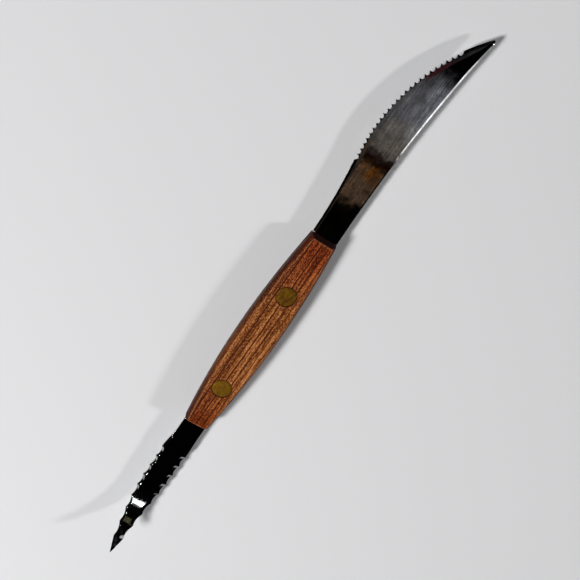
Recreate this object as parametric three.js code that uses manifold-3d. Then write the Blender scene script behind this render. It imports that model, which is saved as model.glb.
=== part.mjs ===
// Double-ended grapefruit knife: one full-tang steel strip, with a serrated curved blade at one end and an upturned
// scalloped spear blade at the other, between two wooden scales that two flush brass rivets hold together.
// Millimetres. +X points to the serrated blade's tip, +Y to its cutting edge, +Z up. The knife lies on its lower
// scale, and the origin is the middle of that scale's broad face.

import * as THREE from "three";
import { mergeVertices } from "three/addons/utils/BufferGeometryUtils.js";
import Module from "manifold-3d";

// Handle
const handleLength = 98.6; // along the tang
const handleMidWidth = 16.7;
const handleEndWidth = 10.8;
const scaleThickness = 4; // each wooden scale
const scaleWall = 0.9; // upright part of a scale's side, next to the tang
const scaleShoulder = 1.6; // how far the rounded side leans in before the broad face
const scaleEndSlope = 1.2; // how much sooner the broad face ends than the tang face, at each end
const scaleEndBreak = 0.4; // broken edge at both ends of a scale

// Rivets: a headed post pressed into a headed socket, both heads flush with the wood
const frontRivetOffset = 22.6; // from the handle's middle towards the serrated blade
const rearRivetOffset = 26.7; // from the handle's middle towards the spear blade
const rivetHeadDiameter = 7.9;
const rivetHeadThickness = 1.6;
const postDiameter = 3;
const socketWall = 0.7;
const rivetClearance = 0.15; // round the heads and the socket in their holes, and round the post in its socket
const rivetEndGap = 0.3; // between the socket's mouth and the post's head, and over the post's end

// Steel strip
const stripThickness = 1.2;
const edgeThickness = 0.3; // left at a ground edge
const tangEase = 3; // length over which the tang leaves the handle's outline for a blade's

// Serrated blade, in plan: a plain neck, then one arc of teeth that runs on to the tip
const bladeLength = 88.6; // from the handle's end to the tip
const neckLength = 30.4; // from the handle's end to the first tooth
const neckHeight = 7.6; // the neck's corner above the centre line
const neckStraight = 14; // how far the neck's edge runs on straight before it rises
const tipDrop = 9.5; // the tip below the centre line
const edgeBulge = 7.3; // how far the edge's arc stands out from its chord
const spineHollow = 1.75; // how far the spine's arc stands in from its chord
const toothPitch = 2.1;
const gulletDepth = 0.93;
const gulletLean = 0.41; // deepest place of a gullet, as a share of its width from the handle side
const plainTipLength = 10.5; // along the edge, from the last tooth to the tip
const edgeBevel = 2.3; // width of the ground face behind the teeth
const neckBevel = 1; // width of the ground face along the neck
const spineBreak = 0.45; // width of the broken edges of the spine
const spineLand = 0.4; // share of the thickness that stays upright between them
const tipFlat = 0.3; // the blunted end of the tip, along the edge

// Spear blade, along the strip from the handle's end
const spearLength = 78.8;
const spearFlatLength = 41; // up to where the strip bends up
const spearBendRadius = 65;
const stemWidth = 10.1;
const stemStraight = 7; // up to where the stem starts to flare
const stemLength = 19.7; // up to the first pair of scallop tips
const spearWidth = 11.8; // across the widest scallop tips
const spearTaper = 34.8; // length over which the tips draw in towards the point
const spearPointLength = 7.4; // from the last pair of scallop tips to the point
const spearPointWidth = 4.7; // across the last pair of scallop tips
const spearPointFlat = 0.3; // width of the blunted end of the point
const spearShift = 0.25; // how far its centre line lies towards the serrated edge's side
const scallopPitch = 6.4;
const scallopGrowth = 1.03; // each scallop is this much longer than the one before it
const scallopDepth = 0.75;
const scallopLean = 0.5; // deepest place of a scallop, as a share of its length
const scallopBevel = 1; // width of the ground face inside each scallop

// Largest shares of a narrowing blade that its ground face and its broken edge take
const bevelShare = 0.5;
const breakShare = 0.25;

// Exponents of the curves
const gulletRoundness = 2.4;
const scallopRoundness = 2;
const taperCurve = 1.5;
const bevelCurve = 4; // how late the neck's bevel widens to the edge's

// Steps along the curves
const scaleSteps = 24;
const sideSteps = 5;
const tangSteps = 20;
const neckSteps = 9;
const gulletSteps = 6;
const tipSteps = 8;
const stemSteps = 8;
const scallopSteps = 6;
const pointSteps = 4;
const roundSteps = 40;

const steel = new THREE.MeshStandardMaterial({ color: 0x8f9194, roughness: 0.2, metalness: 1 });
const wood = new THREE.MeshStandardMaterial({ color: 0x8f4d2c, roughness: 0.45, metalness: 0 });
const brass = new THREE.MeshStandardMaterial({ color: 0x7d6420, roughness: 0.35, metalness: 1 });

const handleEnd = handleLength / 2;
const handleThickness = 2 * scaleThickness + stripThickness;
const boreDiameter = postDiameter + 2 * rivetClearance;
const socketDiameter = boreDiameter + 2 * socketWall;
const shankHole = socketDiameter + 2 * rivetClearance;
const headHole = rivetHeadDiameter + 2 * rivetClearance;
const rivetPlaces = [frontRivetOffset, -rearRivetOffset];

const wasm = await Module();
wasm.setup();

// A closed geometry as a solid that can be cut.
function solidFrom(geometry) {
  const bare = geometry.clone();
  bare.deleteAttribute("normal");
  bare.deleteAttribute("uv");
  const merged = mergeVertices(bare);
  const vertProperties = new Float32Array(merged.attributes.position.array);
  const triVerts = new Uint32Array(merged.index.array);
  return new wasm.Manifold(new wasm.Mesh({ numProp: 3, vertProperties, triVerts }));
}

// A solid back as a flat-shaded geometry.
function geometryFrom(solid) {
  const mesh = solid.getMesh();
  const geometry = new THREE.BufferGeometry();
  geometry.setAttribute("position", new THREE.BufferAttribute(mesh.vertProperties, mesh.numProp));
  geometry.setIndex(new THREE.BufferAttribute(mesh.triVerts, 1));
  const flat = geometry.toNonIndexed();
  flat.computeVertexNormals();
  return flat;
}

// A geometry with upright round holes, each given by its place along X, diameter, lowest and highest height.
function drilled(geometry, holes) {
  let solid = solidFrom(geometry);
  for (const { x, diameter, low, high } of holes) {
    const drill = new THREE.CylinderGeometry(diameter / 2, diameter / 2, high - low, roundSteps);
    drill.rotateX(Math.PI / 2).translate(x, 0, (low + high) / 2);
    solid = solid.subtract(solidFrom(drill));
  }
  return geometryFrom(solid);
}

// A closed skin over a run of sections towards +X, each with the same number of corners, going round from the left
// edge's underside over the top.
function skinOver(sections) {
  const corners = sections[0].length;
  const index = [];
  for (let s = 0; s + 1 < sections.length; s++) {
    for (let c = 0; c < corners; c++) {
      const here = s * corners + c;
      const next = s * corners + ((c + 1) % corners);
      index.push(here, next, next + corners, here, next + corners, here + corners);
    }
  }
  const last = (sections.length - 1) * corners;
  for (let c = 1; c + 1 < corners; c++) {
    index.push(0, c + 1, c, last, last + c, last + c + 1);
  }
  const geometry = new THREE.BufferGeometry().setFromPoints(sections.flat());
  geometry.setIndex(index);
  return geometry;
}

// An arc between two points that stands out from its chord, to the left of the way from start to end.
function archedArc(start, end, rise) {
  const chord = end.clone().sub(start);
  const half = chord.length() / 2;
  const radius = (half * half + rise * rise) / (2 * rise);
  const left = new THREE.Vector2(-chord.y, chord.x).normalize();
  const centre = start.clone().lerp(end, 0.5).addScaledVector(left, rise - radius);
  const startAngle = start.clone().sub(centre).angle();
  const endAngle = end.clone().sub(centre).angle();
  return new THREE.EllipseCurve(centre.x, centre.y, radius, radius, startAngle, endAngle, true);
}

// Half the handle's width at a place along it: an arc from end to end.
function handleHalfWidth(x) {
  const sagitta = (handleMidWidth - handleEndWidth) / 2;
  const radius = (handleEnd * handleEnd + sagitta * sagitta) / (2 * sagitta);
  return handleMidWidth / 2 - radius + Math.sqrt(radius * radius - x * x);
}

// One half of a scale's section, from the tang face up to the broad face: an upright wall, then an arc that leans in
// to the edge of the broad face. The inset and height are of the broad face at this section.
function scaleSide(halfWidth, topInset, topHeight) {
  const rise = topHeight - scaleWall;
  const sweep = 2 * Math.atan2(topInset, rise);
  const radius = rise / Math.sin(sweep);
  const side = [new THREE.Vector2(halfWidth, 0)];
  for (let i = 0; i <= sideSteps; i++) {
    const turn = (sweep * i) / sideSteps;
    const inset = radius * (1 - Math.cos(turn));
    side.push(new THREE.Vector2(halfWidth - inset, scaleWall + radius * Math.sin(turn)));
  }
  return side;
}

// A wooden scale with its tang face at height 0 and its broad face up.
function makeScale() {
  const places = [-handleEnd];
  const innerEnd = handleEnd - scaleEndBreak;
  for (let i = 0; i <= scaleSteps; i++) {
    places.push(-innerEnd + (2 * innerEnd * i) / scaleSteps);
  }
  places.push(handleEnd);
  const sections = places.map((x, i) => {
    const broken = i === 0 || i === places.length - 1 ? scaleEndBreak : 0;
    const left = scaleSide(handleHalfWidth(x), scaleShoulder + broken, scaleThickness - broken);
    const right = left.map((p) => new THREE.Vector2(-p.x, p.y)).reverse();
    const leanAt = (height) => 1 - ((scaleEndSlope / handleEnd) * height) / scaleThickness;
    return [...left, ...right].map((p) => new THREE.Vector3(x * leanAt(p.y), p.x, p.y));
  });
  const seat = scaleThickness - rivetHeadThickness;
  const holes = rivetPlaces.flatMap((x) => [
    { x, diameter: shankHole, low: -scaleThickness, high: 2 * scaleThickness },
    { x, diameter: headHole, low: seat, high: 2 * scaleThickness },
  ]);
  return drilled(skinOver(sections), holes);
}

// Depth of a notch at a share of its width: none at both tips and one at its deepest place.
function notchShape(share, deepest, roundness) {
  const along = share < deepest ? share / (2 * deepest) : 0.5 + (share - deepest) / (2 * (1 - deepest));
  return 1 - Math.abs(2 * along - 1) ** roundness;
}

// Sections of the tang, flush with the handle's sides, which narrows to the stem at the spear end.
function tangSections() {
  const start = -handleEnd + tangEase;
  const end = handleEnd - tangEase;
  const sections = [];
  for (let i = 0; i <= tangSteps; i++) {
    const x = start + ((end - start) * i) / tangSteps;
    const half = handleHalfWidth(x);
    const inner = half - spineBreak;
    const corners = [
      [half, 0],
      [half, stripThickness],
      [inner, stripThickness],
      [-inner, stripThickness],
      [-half, stripThickness],
      [-half, 0],
      [-inner, 0],
    ];
    sections.push(corners.map(([y, z]) => new THREE.Vector3(x, y, z)));
  }
  return sections;
}

// Sections of the serrated blade: neck, teeth and plain tip. The underside is flat and the edge is ground from above,
// so the thickness grows from the edge inwards until it is the strip's own.
function bladeSections() {
  const rootHalf = handleEndWidth / 2;
  const root = new THREE.Vector2(handleEnd, rootHalf);
  const bend = new THREE.Vector2(handleEnd + neckStraight, rootHalf);
  const corner = new THREE.Vector2(handleEnd + neckLength, neckHeight);
  const tip = new THREE.Vector2(handleEnd + bladeLength, -tipDrop);
  const neck = new THREE.QuadraticBezierCurve(root, bend, corner);
  const edge = archedArc(corner, tip, edgeBulge);
  const spine = archedArc(new THREE.Vector2(handleEnd, -rootHalf), tip, spineHollow);
  const neckShare = neckLength / bladeLength;
  const edgeLength = edge.getLength();
  const toothed = edgeLength - plainTipLength;
  const teeth = Math.max(1, Math.round(toothed / toothPitch));

  const section = (curve, t, spineT, bevel, notch) => {
    const onEdge = curve.getPoint(t);
    const along = curve.getTangent(t);
    const inward = new THREE.Vector2(along.y, -along.x);
    const onSpine = spine.getPoint(spineT);
    const spineAlong = spine.getTangent(spineT);
    const spineInward = new THREE.Vector2(-spineAlong.y, spineAlong.x);
    const width = onEdge.distanceTo(onSpine);
    const ground = Math.min(bevel, width * bevelShare);
    const eased = Math.min(spineBreak, width * breakShare);
    const thickAt = (depth) => Math.min(1, depth / bevel) * (stripThickness - edgeThickness) + edgeThickness;
    const cut = onEdge.clone().addScaledVector(inward, notch);
    const bevelEnd = onEdge.clone().addScaledVector(inward, ground);
    const spineTop = onSpine.clone().addScaledVector(spineInward, eased);
    const spineThick = thickAt(width);
    const corners = [
      [cut, 0],
      [cut, thickAt(notch)],
      [bevelEnd, thickAt(ground)],
      [spineTop, spineThick],
      [onSpine, (spineThick * (1 + spineLand)) / 2],
      [onSpine, (spineThick * (1 - spineLand)) / 2],
      [spineTop, 0],
    ];
    return corners.map(([p, z]) => new THREE.Vector3(p.x, p.y, z));
  };

  const sections = [];
  for (let i = 0; i < neckSteps; i++) {
    const t = i / neckSteps;
    const bevel = THREE.MathUtils.lerp(neckBevel, edgeBevel, t ** bevelCurve);
    sections.push(section(neck, t, neckShare * t, bevel, 0));
  }
  const pastNeck = (t) => neckShare + (1 - neckShare) * t;
  for (let i = 0; i < teeth * gulletSteps; i++) {
    const share = (i % gulletSteps) / gulletSteps;
    const t = ((i / gulletSteps) * toothed) / teeth / edgeLength;
    const notch = gulletDepth * notchShape(share, gulletLean, gulletRoundness);
    sections.push(section(edge, t, pastNeck(t), edgeBevel, notch));
  }
  for (let i = 0; i <= tipSteps; i++) {
    const t = (toothed + ((plainTipLength - tipFlat) * i) / tipSteps) / edgeLength;
    sections.push(section(edge, t, pastNeck(t), edgeBevel, 0));
  }
  return sections;
}

// Half the spear blade's width across its scallop tips, at a distance along the strip from the handle.
function spearHalfWidth(along) {
  const fromPoint = spearLength - along;
  const widest = spearWidth / 2;
  const last = spearPointWidth / 2;
  if (along < stemLength) {
    const flare = THREE.MathUtils.smoothstep(along, stemStraight, stemLength);
    return THREE.MathUtils.lerp(stemWidth / 2, widest, flare);
  }
  if (fromPoint < spearPointLength) {
    return THREE.MathUtils.lerp(spearPointFlat / 2, last, fromPoint / spearPointLength);
  }
  const drawnIn = THREE.MathUtils.clamp(1 - (fromPoint - spearPointLength) / spearTaper, 0, 1);
  return THREE.MathUtils.lerp(widest, last, drawnIn ** taperCurve);
}

// A place in the flat strip, carried up round the bend.
function bentUp(along, y, z) {
  const pastBend = Math.max(0, along - spearFlatLength);
  const angle = pastBend / spearBendRadius;
  const radius = spearBendRadius - (z - stripThickness / 2);
  const reach = Math.min(along, spearFlatLength) + radius * Math.sin(angle);
  const height = pastBend > 0 ? stripThickness / 2 + spearBendRadius - radius * Math.cos(angle) : z;
  return new THREE.Vector3(-handleEnd - reach, y, height);
}

// Sections of the spear blade from its point to the handle. Both edges are ground from above beyond the stem.
function spearSections() {
  const lastTips = spearLength - spearPointLength;
  const scalloped = lastTips - stemLength;
  const scallops = Math.max(1, Math.round(scalloped / scallopPitch));
  const growthSum = (scallopGrowth ** scallops - 1) / (scallopGrowth - 1);
  const stations = [];
  for (let i = 0; i < stemSteps; i++) {
    stations.push({ along: (stemLength * i) / stemSteps, notch: 0 });
  }
  let tips = stemLength;
  for (let s = 0; s < scallops; s++) {
    const pitch = (scalloped * scallopGrowth ** s) / growthSum;
    for (let i = 0; i < scallopSteps; i++) {
      const share = i / scallopSteps;
      const notch = scallopDepth * notchShape(share, scallopLean, scallopRoundness);
      stations.push({ along: tips + pitch * share, notch });
    }
    tips += pitch;
  }
  for (let i = 0; i <= pointSteps; i++) {
    stations.push({ along: lastTips + (spearPointLength * i) / pointSteps, notch: 0 });
  }
  return stations.reverse().map(({ along, notch }) => {
    const half = spearHalfWidth(along) - notch;
    const bevel = Math.min(scallopBevel, half * bevelShare);
    const inner = half - bevel;
    const sharpness = THREE.MathUtils.smoothstep(along, stemStraight, stemLength);
    const edge = THREE.MathUtils.lerp(stripThickness, edgeThickness, sharpness);
    const top = edge + (stripThickness - edge) * (bevel / scallopBevel);
    const middle = spearShift * sharpness;
    const corners = [
      [half, 0],
      [half, edge],
      [inner, top],
      [-inner, top],
      [-half, edge],
      [-half, 0],
      [-inner, 0],
    ];
    return corners.map(([y, z]) => bentUp(along, middle + y, z));
  });
}

// The whole strip with its underside at height 0, drilled for the rivets.
function makeStrip() {
  const skin = skinOver([...spearSections(), ...tangSections(), ...bladeSections()]);
  const holes = rivetPlaces.map((x) => ({ x, diameter: shankHole, low: -stripThickness, high: 2 * stripThickness }));
  return drilled(skin, holes);
}

// A solid of revolution about Z from a profile of radius and height pairs that starts and ends on the axis.
function turned(profile) {
  const points = profile.map(([radius, height]) => new THREE.Vector2(radius, height));
  return new THREE.LatheGeometry(points, roundSteps).rotateX(Math.PI / 2);
}

// The rivet's upper half: a head with a tube below it, blind at the head.
function makeSocket() {
  const head = rivetHeadDiameter / 2;
  const tube = socketDiameter / 2;
  const bore = boreDiameter / 2;
  const seat = handleThickness - rivetHeadThickness;
  const mouth = rivetHeadThickness + rivetEndGap;
  return turned([
    [0, seat],
    [bore, seat],
    [bore, mouth],
    [tube, mouth],
    [tube, seat],
    [head, seat],
    [head, handleThickness],
    [0, handleThickness],
  ]);
}

// The rivet's lower half: a head with a solid post that stands in the tube.
function makePost() {
  const head = rivetHeadDiameter / 2;
  const post = postDiameter / 2;
  const end = handleThickness - rivetHeadThickness - rivetEndGap;
  return turned([
    [0, 0],
    [head, 0],
    [head, rivetHeadThickness],
    [post, rivetHeadThickness],
    [post, end],
    [0, end],
  ]);
}

function named(name, geometry, material) {
  const mesh = new THREE.Mesh(geometry, material);
  mesh.name = name;
  return mesh;
}

const knife = new THREE.Group();

const strip = named("blade_strip", makeStrip(), steel);
strip.position.z = scaleThickness;

const scale = makeScale();
const upperScale = named("upper_scale", scale, wood);
upperScale.position.z = scaleThickness + stripThickness;
const lowerScale = named("lower_scale", scale, wood);
lowerScale.rotation.x = Math.PI;
lowerScale.position.z = scaleThickness;

knife.add(strip, upperScale, lowerScale);

const socket = makeSocket();
const post = makePost();
for (const [i, end] of ["front", "rear"].entries()) {
  const rivet = new THREE.Group();
  rivet.add(named(`${end}_rivet_socket`, socket, brass), named(`${end}_rivet_post`, post, brass));
  rivet.position.x = rivetPlaces[i];
  knife.add(rivet);
}

export default knife;
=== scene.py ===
import bpy
import numpy as np
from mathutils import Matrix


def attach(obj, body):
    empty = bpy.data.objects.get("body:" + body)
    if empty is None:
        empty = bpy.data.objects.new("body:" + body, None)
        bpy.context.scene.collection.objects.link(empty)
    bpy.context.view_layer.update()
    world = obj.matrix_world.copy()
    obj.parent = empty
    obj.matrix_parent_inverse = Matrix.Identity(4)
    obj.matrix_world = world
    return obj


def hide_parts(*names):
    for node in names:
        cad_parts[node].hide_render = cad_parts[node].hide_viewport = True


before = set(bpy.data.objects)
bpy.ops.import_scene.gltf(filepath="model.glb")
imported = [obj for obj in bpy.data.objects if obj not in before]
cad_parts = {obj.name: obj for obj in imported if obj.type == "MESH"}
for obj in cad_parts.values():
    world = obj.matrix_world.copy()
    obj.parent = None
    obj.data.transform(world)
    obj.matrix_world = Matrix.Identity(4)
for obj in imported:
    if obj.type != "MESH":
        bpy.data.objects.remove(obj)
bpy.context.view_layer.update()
mm = 0.001  # sizes below are millimetres in the knife's own frame
perMetre = 1000.0
creaseGap = 0.006  # how far apart the points stand that round a corner of the strip
creaseShare = 0.2  # each gap is at most this share of the way to the next corner
topShares = (0.42, 0.47, 0.53, 0.58)  # points across the strip's top
underShares = (0.02, 0.3, 0.5, 0.7, 0.98)  # and across its underside
axisRadius = 0.02  # turned profiles end this far from their axis
overcut = 1.0  # a cutter reaches this far past a scale
leastSpan = 1e-6  # so that a side of no length can be divided by
sharpFrom = {"steel": 35, "wood": 40, "brass": 40, "cutter": 30}  # edges over these degrees stay sharp
print("frame:", ", ".join(sorted(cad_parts)))


# Value a at share 0 and b at share 1, for whole arrays.
def between(a, b, share):
    return a + (b - a) * share


# Rises from 0 at low to 1 at high with level ends: 3 t squared minus 2 t cubed.
def eased(x, low, high):
    t = np.clip((x - low) / (high - low), 0, 1)
    return t * t * (3 - 2 * t)


# Faces of a grid of rows along a path by columns round a section: four-sided ones, closed round the
# columns, and over each end a fan of triangles about a middle point. The two middle points come after the
# grid's own.
def tubeFaces(rows, columns):
    here = np.arange(rows * columns).reshape(rows, columns)
    beside = np.roll(here, -1, axis=1)
    sides = np.stack([here[:-1], beside[:-1], beside[1:], here[1:]], axis=-1).reshape(-1, 4)
    first = np.stack([beside[0], here[0], np.full(columns, rows * columns)], axis=-1)
    last = np.stack([here[-1], beside[-1], np.full(columns, rows * columns + 1)], axis=-1)
    return sides.tolist() + first.tolist() + last.tolist()


# A smooth mesh object from a grid of points in millimetres; edges sharper than the angle stay sharp.
def addTube(name, grid, sharpAngle):
    mesh = bpy.data.meshes.new(name)
    points = np.concatenate([grid.reshape(-1, 3), grid[[0, -1]].mean(axis=1)])
    mesh.from_pydata((points * mm).tolist(), [], tubeFaces(*grid.shape[:2]))
    mesh.shade_smooth()
    mesh.set_sharp_from_angle(angle=np.radians(sharpAngle))
    piece = bpy.data.objects.new(name, mesh)
    bpy.context.scene.collection.objects.link(piece)
    return piece


# The piece less the cutters, applied to its mesh; the cutters go.
def cutHoles(piece, cutters, sharpAngle):
    for cutter in cutters:
        hole = piece.modifiers.new("hole", "BOOLEAN")
        hole.object = cutter
        hole.operation = "DIFFERENCE"
        hole.solver = "EXACT"
    graph = bpy.context.evaluated_depsgraph_get()
    whole = piece.data
    piece.data = bpy.data.meshes.new_from_object(piece.evaluated_get(graph))
    piece.data.name = whole.name
    piece.modifiers.clear()
    bpy.data.meshes.remove(whole)
    for cutter in cutters:
        blank = cutter.data
        bpy.data.objects.remove(cutter)
        bpy.data.meshes.remove(blank)
    piece.data.shade_smooth()
    piece.data.set_sharp_from_angle(angle=np.radians(sharpAngle))


# A turned solid: each radius and height of the profile carried round a circle about the upright line at x.
def turnedGrid(profile, x, steps):
    radius, height = np.array(profile).T
    angle = (np.arange(steps) + 0.5) * 2 * np.pi / steps
    ring = np.stack([np.cos(angle), np.sin(angle)], axis=-1)
    grid = np.empty((len(radius), steps, 3))
    grid[..., :2] = radius[:, None, None] * ring
    grid[..., 0] += x
    grid[..., 2] = height[:, None]
    return grid


# Points across a run of sections, at shares of the way from one point of each to another.
def spread(a, b, shares):
    return a[:, None] + (b - a)[:, None] * np.array(shares)[:, None]


# Columns of a run of sections: the first and last key points, and round each key between them two points
# on either side, one and two gaps away, so that the corner is a little rounded and the faces beside it
# stay flat.
def guarded(keys):
    columns = [keys[0]]
    for before, at, after in zip(keys, keys[1:], keys[2:]):
        for other, steps in ((before, (2, 1)), (after, (1, 2))):
            away = other - at
            span = np.maximum(np.linalg.norm(away, axis=1), leastSpan)[:, None]
            columns += [at + away * np.minimum(creaseShare * n, n * creaseGap / span) for n in steps]
    return np.stack(columns + [keys[-1]], axis=1)


# The columns of a strip's sections from five points up each side: the corners a little rounded, and a few
# points across the top and the bottom.
def stripColumns(left, right):
    upper = guarded(left + right[-1:])[:, :-1]
    outer = guarded(left[-1:] + right[::-1])[:, 1:]
    top = spread(left[-1], right[-1], topShares)
    under = spread(right[0], left[0], underShares)
    return np.concatenate([upper, top, outer, under], axis=1)


# Three-column points from plan points and heights.
def raised(plan, height):
    return np.column_stack([plan, np.broadcast_to(height, len(plan))])


# Depth of a notch at a share of its width: 0 at both tips and 1 at its deepest place, as 1 less a power of
# the way from there to a tip.
def notchShape(share, deepest, roundness):
    falling = share / (2 * deepest)
    rising = 0.5 + (share - deepest) / (2 * (1 - deepest))
    along = np.where(share < deepest, falling, rising)
    return 1 - np.abs(2 * along - 1) ** roundness


# An arc from start to end that stands out by rise to the left of its chord: the radius is half the chord
# squared plus the rise squared, over twice the rise. Gives points and headings at shares t, and the length.
def archedArc(start, end, rise, t):
    chord = end - start
    half = np.hypot(*chord) / 2
    radius = (half**2 + rise**2) / (2 * rise)
    left = np.array([-chord[1], chord[0]]) / (2 * half)
    centre = (start + end) / 2 + left * (rise - radius)
    first = np.arctan2(start[1] - centre[1], start[0] - centre[0])
    last = np.arctan2(end[1] - centre[1], end[0] - centre[0])
    angle = between(first, last, t)
    points = centre + radius * np.column_stack([np.cos(angle), np.sin(angle)])
    headings = np.column_stack([np.sin(angle), -np.cos(angle)])
    return points, headings, radius * (first - last)


handle = {
    "length": 98.6, "midWidth": 16.7, "endWidth": 10.8,
    "scaleThickness": 4.0, "wall": 0.9, "shoulder": 1.6, "ridgeRadius": 0.4,
    "endSlope": 1.2, "endRadius": 0.45,
    "rows": 170, "leanPoints": 16, "roundPoints": 8, "facePoints": 26, "backPoints": 14,
}
stripThickness = 1.2
handleEnd = handle["length"] / 2
handleThickness = 2 * handle["scaleThickness"] + stripThickness
sideBow = (handle["midWidth"] - handle["endWidth"]) / 2


# Half the handle's width: an arc through both ends and the middle.
def handleHalf(x):
    radius = (handleEnd**2 + sideBow**2) / (2 * sideBow)
    return handle["midWidth"] / 2 - radius + np.sqrt(radius**2 - x**2)


# One side of a scale's section from the tang up: an upright wall, a large arc that leans in and a small arc
# inside it that ends level on the broad face. Gives inset, height and the outward direction at each point.
def scaleSide():
    rise = handle["scaleThickness"] - handle["wall"]
    sweep = 2 * np.arctan2(handle["shoulder"], rise)
    large = rise / np.sin(sweep)
    small = handle["ridgeRadius"]
    reach = np.sqrt((large - small) ** 2 - (rise - small) ** 2)
    meet = np.arctan2(rise - small, reach)
    lean = np.linspace(0, meet, handle["leanPoints"])
    turn = np.linspace(meet, np.pi / 2, handle["roundPoints"])[1:]
    inset = np.concatenate([[0, 0], large * (1 - np.cos(lean)), large - reach - small * np.cos(turn)])
    low = handle["wall"] + large * np.sin(lean)
    high = handle["scaleThickness"] - small + small * np.sin(turn)
    height = np.concatenate([[0, handle["wall"] / 2], low, high])
    facing = np.concatenate([[0, 0], lean, turn])
    return inset, height, np.cos(facing), np.sin(facing)


# A scale with its tang face at height 0: the section is carried along the handle at half its width, drawn
# in round both ends, and its upper points are brought towards the middle so that the ends slope.
def scaleGrid():
    inset, height, outY, outZ = scaleSide()
    radius = handle["endRadius"]
    body = np.linspace(-handleEnd + radius, handleEnd - radius, handle["rows"])
    turn = np.linspace(0, np.pi / 2, handle["roundPoints"])[1:]
    endX = handleEnd - radius + radius * np.sin(turn)
    endDraw = radius * (1 - np.cos(turn))
    x = np.concatenate([-endX[::-1], body, endX])[:, None]
    draw = np.concatenate([endDraw[::-1], 0 * body, endDraw])[:, None]
    sideY = handleHalf(x) - inset - draw * outY
    sideZ = height - draw * outZ
    faceShare = np.linspace(1, -1, handle["facePoints"])[None, 1:-1]
    faceY = sideY[:, -1:] * faceShare
    faceZ = np.broadcast_to(sideZ[:, -1:], faceY.shape)
    backShare = np.linspace(-1, 1, handle["backPoints"])[None, 1:-1]
    backY = sideY[:, :1] * backShare
    y = np.concatenate([sideY, faceY, -sideY[:, ::-1], backY], axis=1)
    z = np.concatenate([sideZ, faceZ, sideZ[:, ::-1], 0 * backY], axis=1)
    lean = 1 - handle["endSlope"] / handleEnd * z / handle["scaleThickness"]
    return np.stack([x * lean, y, z], axis=-1)


rivet = {
    "front": 22.6, "rear": -26.7, "head": 7.9, "headThickness": 1.6, "post": 3.0, "wall": 0.7,
    "clearance": 0.15, "endGap": 0.3, "edgeRadius": 0.16, "dome": 0.05,
    "tangCut": (3.0, 7.0),  # heights that the tang's holes are cut between
    "steps": 96, "rimPoints": 7, "domePoints": 14,
}
bore = rivet["post"] + 2 * rivet["clearance"]
shank = bore + 2 * rivet["wall"]
shankHole = shank + 2 * rivet["clearance"]
headHole = rivet["head"] + 2 * rivet["clearance"]


# A rivet head's outer face from its rim to near its middle: a quarter round, then a shallow dome whose
# height falls with the square of the radius. Heights count down from the top of the dome.
def headFace():
    radius = rivet["head"] / 2
    turn = np.linspace(0, np.pi / 2, rivet["rimPoints"])
    rimR = radius - rivet["edgeRadius"] * (1 - np.cos(turn))
    rimZ = -rivet["dome"] - rivet["edgeRadius"] * (1 - np.sin(turn))
    domeR = np.linspace(radius - rivet["edgeRadius"], axisRadius, rivet["domePoints"])[1:]
    domeZ = -rivet["dome"] * (domeR / (radius - rivet["edgeRadius"])) ** 2
    return np.concatenate([rimR, domeR]), np.concatenate([rimZ, domeZ])


# The socket: from the blind end of its bore down to the mouth, up the outside, then over the head.
def socketProfile():
    faceR, faceZ = headFace()
    seat = handleThickness - rivet["headThickness"]
    mouth = rivet["headThickness"] + rivet["endGap"]
    inside = [(axisRadius, seat), (bore / 2, seat), (bore / 2, mouth)]
    outside = [(shank / 2, mouth), (shank / 2, seat), (rivet["head"] / 2, seat)]
    return inside + outside + list(zip(faceR, handleThickness + faceZ))


# The post: over the lower head from its middle to its rim, then up the post to its end.
def postProfile():
    faceR, faceZ = headFace()
    seat = rivet["headThickness"]
    end = handleThickness - rivet["headThickness"] - rivet["endGap"]
    postRadius = rivet["post"] / 2
    high = [(rivet["head"] / 2, seat), (postRadius, seat), (postRadius, end), (axisRadius, end)]
    return list(zip(faceR[::-1], -faceZ[::-1])) + high


# A stepped hole through a scale: the shank's width from below the tang face, the head's width from the
# seat up.
def scaleCutter(x, base, up):
    seat = handle["scaleThickness"] - rivet["headThickness"]
    over = handle["scaleThickness"] + overcut
    steps = [(axisRadius, -overcut), (shankHole / 2, -overcut), (shankHole / 2, seat),
             (headHole / 2, seat), (headHole / 2, over), (axisRadius, over)]
    rows = [(r, base + up * z) for r, z in steps]
    grid = turnedGrid(rows if up > 0 else rows[::-1], x, rivet["steps"])
    return addTube("cutter", grid, sharpFrom["cutter"])


blade = {
    "length": 88.6, "neckLength": 30.4, "neckHeight": 7.6, "neckStraight": 14.0, "tipDrop": 9.45,
    "edgeBulge": 7.02, "spineHollow": 1.75, "toothPitch": 2.1, "plainTip": 10.5,
    "gulletDepth": 0.93, "gulletLean": 0.41, "gulletRoundness": 2.4,
    "bevel": 2.3, "neckBevel": 1.0, "bevelSlope": 0.2, "band": 0.95, "neckBand": 0.8, "bandSlope": 0.73,
    "bandLimit": 0.95, "leastBand": 0.02, "neckGrind": 4,
    "spineFacet": 0.70, "spineSlope": 0.25, "spineRound": 0.12, "fullWidth": 8,
    "tipWidth": 0.9, "edgeEnd": (-0.45, 0.85), "spineEnd": (-0.75, 0.05),  # from the tip, in tip widths
    "tipRound": [(0.9, 0.12), (0.7, 0.22), (0.35, 0.28)],  # closing sections: size and place past the end
    "neckRows": 60, "gulletRows": 18, "tipRows": 50,
}


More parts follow.
